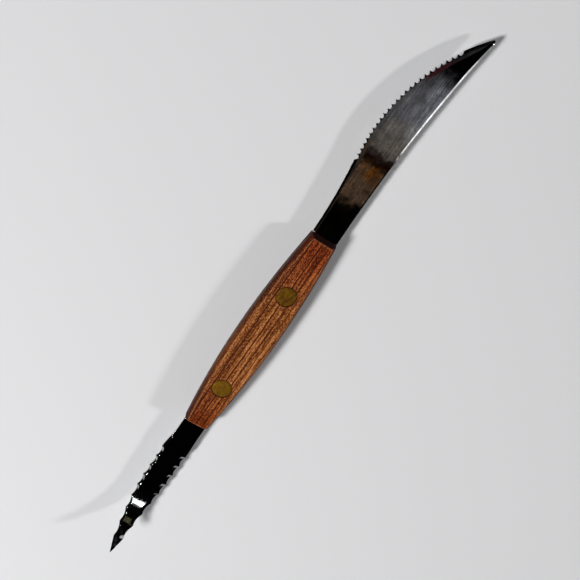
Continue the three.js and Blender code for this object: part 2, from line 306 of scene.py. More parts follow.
# The serrated blade: sections square to its edge, from the handle to the tip. The edge is a quadratic curve
# along the neck and then an arc, notched by round gullets with upright walls. From the edge the top rises
# along a steep band as wide as the teeth and then along a flat bevel. The spine is an arc with a narrow
# facet. The underside is flat.
def bladeGrid():
    rootHalf = handle["endWidth"] / 2
    root = np.array([handleEnd, rootHalf])
    bend = root + [blade["neckStraight"], 0]
    corner = np.array([handleEnd + blade["neckLength"], blade["neckHeight"]])
    tip = np.array([handleEnd + blade["length"], -blade["tipDrop"]])
    edgeTip = tip + blade["tipWidth"] * np.array(blade["edgeEnd"])
    spineTip = tip + blade["tipWidth"] * np.array(blade["spineEnd"])
    edgeLength = archedArc(corner, edgeTip, blade["edgeBulge"], np.zeros(1))[2]
    toothed = edgeLength - blade["plainTip"]
    teeth = max(1, round(toothed / blade["toothPitch"]))

    t = np.linspace(0, 1, blade["neckRows"], endpoint=False)[:, None]
    neck = (1 - t) ** 2 * root + 2 * t * (1 - t) * bend + t**2 * corner
    neckHeading = (1 - t) * (bend - root) + t * (corner - bend)
    neckHeading /= np.linalg.norm(neckHeading, axis=1)[:, None]

    phase = np.arange(teeth * blade["gulletRows"]) / blade["gulletRows"]
    tipAlong = np.linspace(toothed, edgeLength, blade["tipRows"])
    edgeShare = np.concatenate([phase * toothed / teeth, tipAlong]) / edgeLength
    arc, arcHeading, _ = archedArc(corner, edgeTip, blade["edgeBulge"], edgeShare)
    gullets = notchShape(phase % 1, blade["gulletLean"], blade["gulletRoundness"]) * blade["gulletDepth"]

    onEdge = np.concatenate([neck, arc])
    heading = np.concatenate([neckHeading, arcHeading])
    inward = np.column_stack([heading[:, 1], -heading[:, 0]])
    notch = np.concatenate([0 * t[:, 0], gullets, 0 * tipAlong])
    # 0 at the handle, rising along the neck to 1 at the teeth
    sharpened = np.concatenate([t[:, 0] ** blade["neckGrind"], np.ones(len(edgeShare))])

    neckShare = blade["neckLength"] / blade["length"]
    spineShare = np.concatenate([neckShare * t[:, 0], between(neckShare, 1, edgeShare)])
    spine, spineHeading, _ = archedArc(root * [1, -1], spineTip, blade["spineHollow"], spineShare)
    spineInward = np.column_stack([-spineHeading[:, 1], spineHeading[:, 0]])

    width = np.linalg.norm(onEdge - spine, axis=1)
    fullBevel = between(blade["neckBevel"], blade["bevel"], sharpened)
    fullBand = between(blade["neckBand"], blade["band"], sharpened)
    foot = stripThickness - blade["bandSlope"] * fullBand - blade["bevelSlope"] * (fullBevel - fullBand)
    # the bevel never passes the middle of a narrow section, and the band stays narrower than the bevel
    bevel = fullBevel / (1 + (2 * fullBevel / width) ** 4) ** 0.25
    band = np.minimum(fullBand, blade["bandLimit"] * bevel)

    def edgePoint(inset):
        steep = np.minimum(inset, band)
        return raised(onEdge + inward * inset[:, None],
                      foot + blade["bandSlope"] * steep + blade["bevelSlope"] * (inset - steep))

    insets = (notch, np.maximum(band, notch + blade["leastBand"]), between(band, bevel, 0.5), bevel)
    left = [edgePoint(inset) for inset in insets]
    thick = left[-1][:, 2]
    left = [left[0] * [1, 1, 0]] + left

    shrink = np.minimum(1, width / blade["fullWidth"])  # the spine's faces narrow towards the tip

    def spinePoint(inset, height):
        return raised(spine + spineInward * (inset * shrink)[:, None], height)

    facet, soft = blade["spineFacet"], blade["spineRound"]
    drop = blade["spineSlope"] * (facet - soft) * shrink
    right = [spinePoint(soft, 0), spinePoint(0, soft * shrink), spinePoint(0, thick - drop - soft * shrink),
             spinePoint(soft, thick - drop), spinePoint(facet, thick)]
    sections = stripColumns(left, right)
    middle = sections[-1].mean(axis=0)
    ahead = np.array([heading[-1, 0], heading[-1, 1], 0]) * blade["tipWidth"]
    closing = [middle + (sections[-1] - middle) * size + ahead * reach for size, reach in blade["tipRound"]]
    return np.concatenate([sections, closing])


spear = {
    "length": 78.8, "flatLength": 41.0, "bendRadius": 65.0, "width": 11.8, "shift": 0.25,
    "stemWidth": 10.1, "stemStraight": 7.0, "stemLength": 19.7, "stemRound": 0.2,
    "taper": 34.8, "taperCurve": 1.5, "pointLength": 7.4, "pointWidth": 4.7, "pointFlat": 0.3,
    "scallopPitch": 6.4, "scallopGrowth": 1.03, "scallopDepth": 0.75, "scallopRoundness": 2.0,
    "leftEdge": 0.5, "rightEdge": 0.5, "leftSlope": 0.73, "rightSlope": 0.385,
    "groundShares": (0, 0.35, 0.7, 1), "groundLimit": 0.8, "leastGround": 0.15,
    "pointThickness": 0.2, "thickening": 0.8,  # at no width, and the growth with half the width
    "stemRows": 40, "scallopRows": 22, "pointRows": 30,
}


# Half the spear blade's width across its scallop tips: a stem that flares, a run that draws in along a
# power curve, and a straight-sided point.
def spearHalf(along):
    fromPoint = spear["length"] - along
    widest, last = spear["width"] / 2, spear["pointWidth"] / 2
    stem = between(spear["stemWidth"] / 2, widest, eased(along, spear["stemStraight"], spear["stemLength"]))
    drawn = np.clip(1 - (fromPoint - spear["pointLength"]) / spear["taper"], 0, 1)
    run = between(widest, last, drawn ** spear["taperCurve"])
    point = between(spear["pointFlat"] / 2, last, fromPoint / spear["pointLength"])
    ahead = np.where(fromPoint < spear["pointLength"], point, run)
    return np.where(along < spear["stemLength"], stem, ahead)


# The flat strip carried up round the bend: past its flat length it runs round a circle, and a point's
# height moves it in along the circle's radius.
def bentUp(flat):
    along, y, z = np.moveaxis(flat, -1, 0)
    past = np.maximum(0, along - spear["flatLength"])
    radius = spear["bendRadius"] - (z - stripThickness / 2)
    angle = past / spear["bendRadius"]
    reach = np.minimum(along, spear["flatLength"]) + radius * np.sin(angle)
    height = stripThickness / 2 + spear["bendRadius"] - radius * np.cos(angle)
    return np.stack([-handleEnd - reach, y, height], axis=-1)


# The spear blade from its point to the handle: sections across the strip with a row of scallops on both
# edges and a ground face that follows them, bent up towards the point.
def spearGrid():
    lastTips = spear["length"] - spear["pointLength"]
    scalloped = lastTips - spear["stemLength"]
    scallops = max(1, round(scalloped / spear["scallopPitch"]))
    pitch = spear["scallopGrowth"] ** np.arange(scallops)
    tips = spear["stemLength"] + np.concatenate([[0], np.cumsum(pitch)]) / pitch.sum() * scalloped
    phase = np.arange(scallops * spear["scallopRows"]) / spear["scallopRows"]
    stemAlong = np.linspace(0, spear["stemLength"], spear["stemRows"], endpoint=False)
    pointAlong = np.linspace(lastTips, spear["length"], spear["pointRows"])
    along = np.concatenate([stemAlong, np.interp(phase, np.arange(scallops + 1), tips), pointAlong])
    dips = notchShape(phase % 1, 0.5, spear["scallopRoundness"]) * spear["scallopDepth"]
    notch = np.concatenate([0 * stemAlong, dips, 0 * pointAlong])

    sharpened = eased(along, spear["stemStraight"], spear["stemLength"])
    half = spearHalf(along) - notch
    top = np.minimum(stripThickness, spear["pointThickness"] + spear["thickening"] * half)
    middle = spear["shift"] * sharpened

    # one side's points: the edge's foot and top, then up the ground face to its inner corner
    def sideKeys(sign, foot, slope):
        upright = between(stripThickness - spear["stemRound"], foot, sharpened)
        edge = np.minimum(upright, top - spear["leastGround"])
        ground = np.minimum((top - edge) / slope, spear["groundLimit"] * half)
        steps = [(half - ground * s, between(edge, top, s)) for s in spear["groundShares"]]
        return [np.column_stack([along, middle + sign * y, np.broadcast_to(z, len(along))])
                for y, z in [(half, 0)] + steps]

    left = sideKeys(1, spear["leftEdge"], spear["leftSlope"])
    right = sideKeys(-1, spear["rightEdge"], spear["rightSlope"])
    return bentUp(stripColumns(left, right)[::-1])


tang = {"ease": 3.0, "chamfer": 0.1, "rows": 90}


# The tang between the scales: as wide as the handle, with its corners just broken.
def tangGrid():
    x = np.linspace(-handleEnd + tang["ease"], handleEnd - tang["ease"], tang["rows"])
    half, chamfer = handleHalf(x), tang["chamfer"]

    def sideKeys(sign):
        offsets = [(half - chamfer, 0), (half, chamfer), (half, stripThickness - chamfer),
                   (half - chamfer / 2, stripThickness - chamfer / 2), (half - chamfer, stripThickness)]
        return [np.column_stack([x, sign * y, np.full(len(x), z)]) for y, z in offsets]

    return stripColumns(sideKeys(1), sideKeys(-1))


print("building the steel strip")
spearRows = spearGrid()
grid = np.concatenate([spearRows, tangGrid(), bladeGrid()]) + [0, 0, handle["scaleThickness"]]
stripPiece = addTube("steel_strip", grid, sharpFrom["steel"])

# The strip's own map, in centimetres: the length along its top, and the distance in from the left edge, in
# which a step along the strip counts for less. A second set of values says where the surface is freshly
# ground: on both blades' left side in to one column of the section, and on the spear's right side too.
surfaceMap = {"mmPerCm": 10, "alongWeight": 0.3, "topColumn": 18,
              "leftInner": 15, "rightInner": 22, "rightOuter": 38}
fromLeft = grid - grid[:, :1]
inFrom = np.hypot(fromLeft[..., 1], surfaceMap["alongWeight"] * fromLeft[..., 0])
topSteps = np.linalg.norm(np.diff(grid[:, surfaceMap["topColumn"]], axis=0), axis=1)
along = np.concatenate([[0], np.cumsum(topSteps)])
gridMap = np.stack([np.broadcast_to(along[:, None], inFrom.shape), inFrom], axis=-1).reshape(-1, 2)
gridMap = np.concatenate([gridMap, gridMap[[0, -1]]]) / surfaceMap["mmPerCm"]  # the ends' middle points too
corners = np.empty(len(stripPiece.data.loops), dtype=np.int32)
stripPiece.data.loops.foreach_get("vertex_index", corners)
mapLayer = stripPiece.data.uv_layers.new(name="strip")
mapLayer.data.foreach_set("uv", gridMap[corners].astype(np.float32).ravel())

columns = np.arange(grid.shape[1])
rows = np.arange(len(grid))[:, None]
isSpear = rows < len(spearRows)
isBlade = rows >= len(spearRows) + tang["rows"]
onLeft = columns < surfaceMap["leftInner"]
onRight = (columns > surfaceMap["rightInner"]) & (columns < surfaceMap["rightOuter"])
groundMap = (onLeft & (isSpear | isBlade)) | (onRight & isSpear)
groundLayer = stripPiece.data.attributes.new("ground", "FLOAT", "POINT")
groundLayer.data.foreach_set("value", np.append(groundMap, [True, True]).astype(np.float32))

print("building the scales")
lowerBase = handle["scaleThickness"]
upperBase = handle["scaleThickness"] + stripThickness
scaleAbove = scaleGrid() + [0, 0, upperBase]
scaleBelow = scaleGrid() * [1, -1, -1] + [0, 0, lowerBase]
upperScale = addTube("upper_wood_scale", scaleAbove, sharpFrom["wood"])
lowerScale = addTube("lower_wood_scale", scaleBelow, sharpFrom["wood"])

print("drilling for the rivets")
rivetPlaces = {"front": rivet["front"], "rear": rivet["rear"]}
cutHoles(upperScale, [scaleCutter(x, upperBase, 1) for x in rivetPlaces.values()], sharpFrom["wood"])
cutHoles(lowerScale, [scaleCutter(x, lowerBase, -1) for x in rivetPlaces.values()], sharpFrom["wood"])
cutLow, cutHigh = rivet["tangCut"]
tangHole = [(axisRadius, cutLow), (shankHole / 2, cutLow), (shankHole / 2, cutHigh), (axisRadius, cutHigh)]
tangCutters = [addTube("cutter", turnedGrid(tangHole, x, rivet["steps"]), sharpFrom["cutter"])
               for x in rivetPlaces.values()]
cutHoles(stripPiece, tangCutters, sharpFrom["steel"])


# The rivets' halves of one kind, turned from its profile at each rivet's place.
def turnedHalves(kind, profile):
    return {end: addTube(end + kind, turnedGrid(profile, x, rivet["steps"]), sharpFrom["brass"])
            for end, x in rivetPlaces.items()}


print("turning the rivets")
sockets = turnedHalves("_brass_socket", socketProfile())
posts = turnedHalves("_brass_post", postProfile())


# A maker for an emptied node tree: it adds a node, sets its settings and fills its inputs by name, with a
# link where the value is another node's output.
def nodeMaker(tree):
    tree.nodes.clear()

    def make(kind, inputs=None, **settings):
        node = tree.nodes.new("ShaderNode" + kind)
        for key, value in settings.items():
            setattr(node, key, value)
        for key, value in (inputs or {}).items():
            if isinstance(value, bpy.types.NodeSocket):
                tree.links.new(value, node.inputs[key])
            else:
                node.inputs[key].default_value = value
        return node

    return make


# A material without nodes and the maker that fills it.
def startMaterial(name):
    material = bpy.data.materials.new(name)
    material.use_nodes = True
    return material, nodeMaker(material.node_tree)


# One step of arithmetic on two numbers or outputs.
def sum2(make, operation, a, b=0.0, clamp=False):
    return make("Math", {0: a, 1: b}, operation=operation, use_clamp=clamp).outputs[0]


# A number carried from one range to another and held at its ends, in a straight line or an eased one.
def ranged(make, value, source, target=(0.0, 1.0), way="LINEAR"):
    ends = {"From Min": source[0], "From Max": source[1], "To Min": target[0], "To Max": target[1]}
    return make("MapRange", {"Value": value, **ends}, interpolation_type=way).outputs[0]


# One number at factor 0 and another at factor 1.
def blended(make, factor, a, b):
    return make("Mix", {0: factor, 2: a, 3: b}).outputs[0]


# A number turned into a colour by stops of place and colour.
def coloured(make, value, stops):
    node = make("ValToRGB", {"Fac": value})
    ramp = node.color_ramp
    while len(ramp.elements) < len(stops):
        ramp.elements.new(1.0)
    for element, (place, colour) in zip(ramp.elements, stops):
        element.position = place
        element.color = (*colour, 1.0)
    return node.outputs["Color"]


# One colour laid over another by a factor.
def layered(make, factor, under, over, way="MIX"):
    node = make("Mix", data_type="RGBA", blend_type=way)
    for socket, value in ((node.inputs[0], factor), (node.inputs[6], under), (node.inputs[7], over)):
        if isinstance(value, bpy.types.NodeSocket):
            node.id_data.links.new(value, socket)
        else:
            socket.default_value = value if isinstance(value, float) else (*value, 1.0)
    return node.outputs[2]


# A value from 0 to 1 of noise stretched along the knife; the stretch is in lumps a millimetre.
def stretchedNoise(make, place, stretch, detail=3.0, rough=0.55, offset=(0.0, 0.0, 0.0)):
    scale = tuple(s * perMetre for s in stretch)
    mapped = make("Mapping", {"Vector": place, "Scale": scale, "Location": offset}).outputs[0]
    settings = {"Vector": mapped, "Scale": 1.0, "Detail": detail, "Roughness": rough}
    return make("TexNoise", settings).outputs["Fac"]


white = (1.0, 1.0, 1.0)
woodLook = {
    "dark": (0.036, 0.006, 0.001), "middle": (0.170, 0.043, 0.006), "light": (0.540, 0.215, 0.068),
    # the first colour on this line is a painted highlight along the ridge and the ends' upper edges, with
    # some wear
    # the last colour on this line is painted shade on the end faces and round the rivets, with the end
    # grain's own darkening
    "wornHighlight": (0.460, 0.210, 0.080), "sides": (0.38, 0.30, 0.17), "endGrainShade": (0.010, 0.0015, 0.0015),
    "pore": (0.030, 0.008, 0.003), "rearTint": (0.70, 0.41, 0.16), "frontTint": (0.72, 0.36, 0.22),
    "bands": 0.15, "fibres": 0.35, "flecks": 0.5, "drift": 0.8, "shake": 0.3,
    # each streak's middle across the handle, half width and depth
    "streaks": [(4.15, 0.42, 1.0), (0.35, 0.40, 1.0), (-2.45, 0.38, 0.95), (-4.6, 0.32, 0.8),
                (2.1, 0.22, 0.5), (-6.5, 0.36, 0.7), (5.6, 0.22, 0.5), (-1.0, 0.2, 0.45)],
    "streakCore": 0.3, "streakLeast": 0.55, "poreDepth": 0.65, "rivetShadeDepth": 0.75, "wornHighlightDepth": 0.8,
    "paleSide": (-5.0, 0.012), "darkSide": (5.5, -0.025),  # place across the handle and change of tone
    "endFacing": (0.75, 0.95), "endDepth": 0.97, "ridgeShift": 0.15, "endShift": 0.2,
    # distances in metres: along the handle, from a rivet's middle, below the ridge and from the ridge
    "tinted": (-0.05, 0.05), "rivetShadeRing": (0.0046, 0.0041),
    "belowRidge": (0.0002, 0.0008), "wornHighlightReach": (0.00028, 0.00008),
    "roughness": (0.50, 0.65), "specular": 0.08,
    "fibreRelief": 0.35, "reliefStrength": 0.35, "reliefDepth": 0.00006,
}


# Oiled hardwood in the solid: bands, fibres, flecks, pores and a few dark streaks, all along the handle, a
# little darker towards one side and the two ends. The end faces are painted near black, the end grain's own
# darkening together with painted shade, and so is a ring just outside each rivet's hole, painted shade
# where the gap's shadow falls.
def makeWood():
    look = woodLook
    material, make = startMaterial("oiled_hardwood")
    place = make("TexCoord").outputs["Object"]
    split = make("SeparateXYZ", {"Vector": place})
    wander = stretchedNoise(make, place, (0.03, 0.05, 0.05), 2.0)
    tremble = stretchedNoise(make, place, (0.25, 0.2, 0.2), 2.0, offset=(3.0, 1.0, 7.0))
    acrossMm = sum2(make, "MULTIPLY", split.outputs["Y"], perMetre)
    drift = sum2(make, "MULTIPLY", sum2(make, "SUBTRACT", wander, 0.5), look["drift"])
    shake = sum2(make, "MULTIPLY", sum2(make, "SUBTRACT", tremble, 0.5), look["shake"])
    ring = sum2(make, "ADD", acrossMm, sum2(make, "ADD", drift, shake))

    bands = stretchedNoise(make, place, (0.02, 0.42, 0.3), 3.0, offset=(0.0, 4.0, 0.0))
    fibres = stretchedNoise(make, place, (0.09, 1.7, 1.7), 4.0, 0.6)
    flecks = stretchedNoise(make, place, (1.5, 3.0, 3.0), 2.0, 0.6, (9.0, 0.0, 2.0))
    pores = stretchedNoise(make, place, (0.45, 6.0, 6.0), 2.0, 0.5, (0.0, 5.0, 5.0))

    banded = sum2(make, "MULTIPLY", bands, look["bands"])
    tone = sum2(make, "ADD", banded, sum2(make, "MULTIPLY", fibres, look["fibres"]))
    tone = sum2(make, "ADD", tone, sum2(make, "MULTIPLY", flecks, look["flecks"]))
    places, shifts = zip(look["paleSide"], look["darkSide"])
    tone = sum2(make, "ADD", tone, ranged(make, acrossMm, places, shifts))
    colour = coloured(make, tone, [(0.40, look["dark"]), (0.49, look["middle"]), (0.60, look["light"])])

    alongShare = ranged(make, split.outputs["X"], look["tinted"])
    tints = [(0.05, look["rearTint"]), (0.3, white), (0.65, white), (0.95, look["frontTint"])]
    colour = layered(make, 1.0, colour, coloured(make, alongShare, tints), "MULTIPLY")

    fade = sum2(make, "ADD", look["streakLeast"], bands)
    streak = None
    for middle, halfWidth, depth in look["streaks"]:
        away = sum2(make, "ABSOLUTE", sum2(make, "SUBTRACT", ring, middle))
        edges = (halfWidth, look["streakCore"] * halfWidth)
        line = ranged(make, away, edges, (0.0, depth), "SMOOTHSTEP")
        streak = line if streak is None else sum2(make, "MAXIMUM", streak, line)
    streak = sum2(make, "MULTIPLY", streak, fade, True)
    colour = layered(make, streak, colour, look["dark"])

    poreDepth = ranged(make, pores, (0.36, 0.27))
    colour = layered(make, sum2(make, "MULTIPLY", poreDepth, look["poreDepth"]), colour, look["pore"])

    plan = make("CombineXYZ", {"X": split.outputs["X"], "Y": split.outputs["Y"]}).outputs[0]
    # painted shade: a dark ring just outside each rivet's hole, where the gap's shadow falls
    rivetGapShade = None
    for x in rivetPlaces.values():
        apart = make("VectorMath", {0: plan, 1: (x * mm, 0.0, 0.0)}, operation="DISTANCE").outputs["Value"]
        rim = ranged(make, apart, look["rivetShadeRing"], (0.0, look["rivetShadeDepth"]))
        rivetGapShade = rim if rivetGapShade is None else sum2(make, "MAXIMUM", rivetGapShade, rim)
    # the end faces, darkened as end grain and as painted shade
    facing = make("SeparateXYZ", {"Vector": make("NewGeometry").outputs["Normal"]})
    endwise = sum2(make, "ABSOLUTE", facing.outputs["X"])
    endGrainShade = ranged(make, endwise, look["endFacing"], (0.0, look["endDepth"]))

    # The ridge is an arc in plan, close to x squared over twice the radius. Below it the sides are made
    # darker, and a pale line is painted along it and along the ends' upper edges: a painted highlight, with
    # some wear.
    squared = sum2(make, "POWER", split.outputs["X"], 2.0)
    curve = sum2(make, "MULTIPLY", squared, sideBow / (handleEnd**2 * mm))
    inFrom = sum2(make, "ADD", sum2(make, "ABSOLUTE", split.outputs["Y"]), curve)
    ridgeAt = (handle["midWidth"] / 2 - handle["shoulder"] + look["ridgeShift"]) * mm
    past = sum2(make, "SUBTRACT", inFrom, ridgeAt)
    below = ranged(make, past, look["belowRidge"])
    colour = layered(make, below, colour, layered(make, 1.0, colour, look["sides"], "MULTIPLY"))
    # painted shade: the end faces and the ring round each rivet go near black, with the end grain's own
    # darkening
    colour = layered(make, sum2(make, "MAXIMUM", rivetGapShade, endGrainShade), colour, look["endGrainShade"])

    endAt = (handleEnd - handle["endSlope"] - look["endShift"]) * mm
    fromMiddle = sum2(make, "ABSOLUTE", split.outputs["X"])
    offEnd = sum2(make, "ABSOLUTE", sum2(make, "SUBTRACT", fromMiddle, endAt))
    offEnd = sum2(make, "ADD", offEnd, sum2(make, "MULTIPLY", sum2(make, "MAXIMUM", past, 0.0), 0.5))
    offRidge = sum2(make, "MINIMUM", sum2(make, "ABSOLUTE", past), offEnd)
    # painted highlight, with some wear: a pale line along the ridge and the ends' upper edges, broken up by
    # the flecks
    wornHighlight = ranged(make, offRidge, look["wornHighlightReach"])
    broken = ranged(make, flecks, (0.38, 0.66), (0.0, look["wornHighlightDepth"]))
    onTop = sum2(make, "SUBTRACT", broken, endGrainShade, True)
    colour = layered(make, sum2(make, "MULTIPLY", wornHighlight, onTop), colour, look["wornHighlight"])

    rough = ranged(make, fibres, (0.3, 0.7), look["roughness"])
    relief = sum2(make, "SUBTRACT", sum2(make, "MULTIPLY", fibres, look["fibreRelief"]), poreDepth)
    bump = make("Bump", {"Height": relief, "Strength": look["reliefStrength"],
                         "Distance": look["reliefDepth"]}).outputs[0]
    shader = make("BsdfPrincipled", {"Base Color": colour, "Roughness": rough, "Normal": bump,
                                     "Specular IOR Level": look["specular"]})
    make("OutputMaterial", {"Surface": shader.outputs[0]})
    return material


steelLook = {
    "colour": (0.56, 0.57, 0.58), "stain": (0.52, 0.46, 0.40), "grime": (0.05, 0.04, 0.03),
    "polished": (0.035, 0.065), "ground": (0.03, 0.09), "grimeRoughness": 0.4,
    "wheelMarks": (160.0, 6.0, 1.0),  # lumps a centimetre of the strip's own map
    "waveDepth": 0.00006, "lineStrength": 0.1, "lineDepth": 0.00002,
    "stained": (0.104, 0.078), "inHandle": (0.0494, 0.0488),  # places along the knife in metres
    # how far each kind of mark dims and brightens the steel
    "clouding": (0.60, 1.30), "speckles": (0.72, 1.28), "streaks": (0.78, 1.22), "scratches": (1.15, 0.8),
    "smears": (0.5, 1.0), "stainPatches": (0.45, 1.0),
}


# Stainless steel: polished faces with fine lines and soft streaks along the strip, clouding on the serrated
# blade with a faint brown stain and smears towards the handle, ground faces with lines across the strip,
# and old grime on the tang's edges.
def makeSteel():
    look = steelLook
    material, make = startMaterial("polished_stainless")
    place = make("TexCoord").outputs["Object"]
    alongAxis = make("SeparateXYZ", {"Vector": place}).outputs["X"]
    stripMap = make("UVMap", uv_map="strip").outputs[0]
    ground = make("Attribute", attribute_name="ground").outputs["Fac"]
    lines = stretchedNoise(make, place, (0.05, 3.2, 3.2), 5.0, 0.65)
    drawn = stretchedNoise(make, place, (0.035, 1.15, 1.15), 3.0, 0.6, (0.0, 3.0, 6.0))
    smudges = stretchedNoise(make, place, (0.13, 0.24, 0.24), 4.0, 0.6, (5.0, 0.0, 0.0))
    grain = stretchedNoise(make, place, (1.6, 2.4, 2.4), 2.0, 0.6, (2.0, 7.0, 0.0))
    smears = stretchedNoise(make, place, (0.28, 0.3, 0.3), 4.0, 0.6, (1.0, 8.0, 0.0))
    waves = stretchedNoise(make, place, (0.1, 0.14, 0.14), 2.0, 0.5, (0.0, 0.0, 4.0))
    wheel = make("Mapping", {"Vector": stripMap, "Scale": look["wheelMarks"]}).outputs[0]
    wheelMarks = make("TexNoise", {"Vector": wheel, "Scale": 1.0, "Detail": 3.0}).outputs["Fac"]

    onBlade = sum2(make, "GREATER_THAN", alongAxis, 0.0)
    nearHandle = ranged(make, alongAxis, look["stained"], way="SMOOTHSTEP")
    nearHandle = sum2(make, "MULTIPLY", nearHandle, onBlade)
    patches = ranged(make, smudges, (0.3, 0.6), look["stainPatches"])
    colour = layered(make, sum2(make, "MULTIPLY", nearHandle, patches), look["colour"], look["stain"])
    cloudy = blended(make, onBlade, 1.0, ranged(make, smudges, (0.34, 0.66), look["clouding"]))
    speckled = ranged(make, grain, (0.3, 0.7), look["speckles"])
    streaked = ranged(make, drawn, (0.35, 0.65), look["streaks"])
    scratched = ranged(make, lines, (0.38, 0.62), look["scratches"])
    smeared = blended(make, nearHandle, 1.0, ranged(make, smears, (0.38, 0.52), look["smears"]))
    shade = sum2(make, "MULTIPLY", cloudy, sum2(make, "MULTIPLY", speckled, scratched))
    shade = sum2(make, "MULTIPLY", sum2(make, "MULTIPLY", shade, streaked), smeared)
    colour = make("VectorMath", {0: colour, "Scale": shade}, operation="SCALE").outputs[0]
    inHandle = ranged(make, sum2(make, "ABSOLUTE", alongAxis), look["inHandle"])
    colour = layered(make, inHandle, colour, look["grime"])

    polish = ranged(make, lines, (0.3, 0.7), look["polished"])
    grind = ranged(make, wheelMarks, (0.3, 0.7), look["ground"])
    rough = blended(make, ground, polish, grind)
    rough = sum2(make, "ADD", rough, sum2(make, "MULTIPLY", inHandle, look["grimeRoughness"]))
    relief = blended(make, ground, lines, wheelMarks)
    wavy = make("Bump", {"Height": waves, "Strength": 1.0, "Distance": look["waveDepth"]}).outputs[0]
    bump = make("Bump", {"Height": relief, "Strength": look["lineStrength"], "Distance": look["lineDepth"],
                         "Normal": wavy}).outputs[0]
    shader = make("BsdfPrincipled", {"Base Color": colour, "Metallic": 1.0, "Roughness": rough,
                                     "Normal": bump})
    make("OutputMaterial", {"Surface": shader.outputs[0]})
    return material


brassLook = {
    "clean": (0.27, 0.135, 0.004), "tarnish": (0.075, 0.024, 0.002),
    "roughness": (0.37, 0.61), "metallic": 0.85, "lineStrength": 0.25, "lineDepth": 0.00003,
    "specks": 0.5, "older": (0.7, 1.15),  # how far the rear rivet and the front one are tarnished
    "olderAlong": (-0.02, 0.02),  # metres along the handle
}


# Old brass: olive tarnish in soft blotches, with fine sanding lines that carry on from the wood.
def makeBrass():
    look = brassLook
    material, make = startMaterial("tarnished_brass")
    place = make("TexCoord").outputs["Object"]
    alongAxis = make("SeparateXYZ", {"Vector": place}).outputs["X"]
    blotch = stretchedNoise(make, place, (0.35, 0.8, 0.8), 4.0, 0.6)
    specks = stretchedNoise(make, place, (1.6, 2.4, 2.4), 3.0, 0.6, (1.0, 2.0, 3.0))
    lines = stretchedNoise(make, place, (0.4, 11.0, 11.0), 3.0)
    spotted = sum2(make, "ADD", blotch, sum2(make, "MULTIPLY", specks, look["specks"]))
    dull = ranged(make, spotted, (0.56, 0.94))
    older = ranged(make, alongAxis, look["olderAlong"], look["older"])
    colour = layered(make, sum2(make, "MULTIPLY", dull, older, True), look["clean"], look["tarnish"])
    rough = ranged(make, dull, (0.0, 1.0), look["roughness"])
    bump = make("Bump", {"Height": lines, "Strength": look["lineStrength"],
                         "Distance": look["lineDepth"]}).outputs[0]
    shader = make("BsdfPrincipled", {"Base Color": colour, "Metallic": look["metallic"], "Roughness": rough,
                                     "Normal": bump})
    make("OutputMaterial", {"Surface": shader.outputs[0]})
    return material


print("dressing the pieces")
wood, steel, brass = makeWood(), makeSteel(), makeBrass()
dressing = [(stripPiece, "blade_strip", steel, "steel"),
            (upperScale, "upper_scale", wood, "wood"), (lowerScale, "lower_scale", wood, "wood")]
dressing += [(piece, end + "_rivet_socket", brass, "brass") for end, piece in sockets.items()]
dressing += [(piece, end + "_rivet_post", brass, "brass") for end, piece in posts.items()]
for piece, node, material, slot in dressing:
    piece.data.materials.clear()
    piece.data.materials.append(material)
    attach(piece, "root")
    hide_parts(node)

print("laying the table")
# A plain table top, sized in metres, that fades into the pale room well outside the picture.
table = {"half": 0.8, "below": 0.00005, "colour": (0.65, 0.65, 0.66), "roughness": 0.9,
         "fadeFrom": 0.24, "fadeTo": 0.45}
surface = bpy.data.meshes.new("table_top")
corner = np.array([(-1, -1, 0), (1, -1, 0), (1, 1, 0), (-1, 1, 0)]) * table["half"] - [0, 0, table["below"]]
surface.from_pydata(corner.tolist(), [], [(0, 1, 2, 3)])
tableTop = bpy.data.objects.new("table_top", surface)
bpy.context.scene.collection.objects.link(tableTop)
paper, make = startMaterial("plain_paper")
spot = make("TexCoord").outputs["Object"]
fromMiddle = make("VectorMath", {0: spot}, operation="LENGTH").outputs["Value"]
solid = ranged(make, fromMiddle, (table["fadeTo"], table["fadeFrom"]), way="SMOOTHSTEP")
shader = make("BsdfPrincipled", {"Base Color": (*table["colour"], 1.0), "Roughness": table["roughness"],
                                 "Alpha": solid})
make("OutputMaterial", {"Surface": shader.outputs[0]})
surface.materials.append(paper)


# A flat lamp of a size at a place, in metres, that faces straight down.
def addLamp(name, size, place, shape="RECTANGLE"):
    light = bpy.data.lights.new(name, "AREA")
    light.shape = shape
    light.size, light.size_y = size
    holder = bpy.data.objects.new(name, light)
    holder.location = place
    bpy.context.scene.collection.objects.link(holder)
    return holder, light


print("hanging the lamps")
# Each lamp is turned to face the knife; the power is in watts.
lamps = {
    "key": {"place": (-0.748, 0.737, 1.10), "size": (0.31, 0.31), "power": 26.0},
    "fill": {"place": (0.82, -1.82, 1.00), "size": (0.18, 0.18), "power": 20.0},
    "window": {"place": (-1.00, -0.40, 2.15), "size": (0.44, 0.13), "power": 0.7},
    "strip": {"place": (0.060, -1.0, 1.10), "size": (0.24, 0.16), "power": 0.20},
    "stripEnd": {"place": (0.340, -1.0, 1.10), "size": (0.32, 0.16), "power": 0.10},
    "glint": {"place": (0.060, -1.15, 0.93), "size": (0.50, 0.14), "power": 0.12},
}
for name, lamp in lamps.items():
    holder, light = addLamp(name, lamp["size"], lamp["place"])
    light.energy = lamp["power"]
    east, north, high = lamp["place"]
    tilt = np.arctan2(np.hypot(east, north), high)
    holder.rotation_euler = (tilt, 0, np.arctan2(north, east) + np.pi / 2)

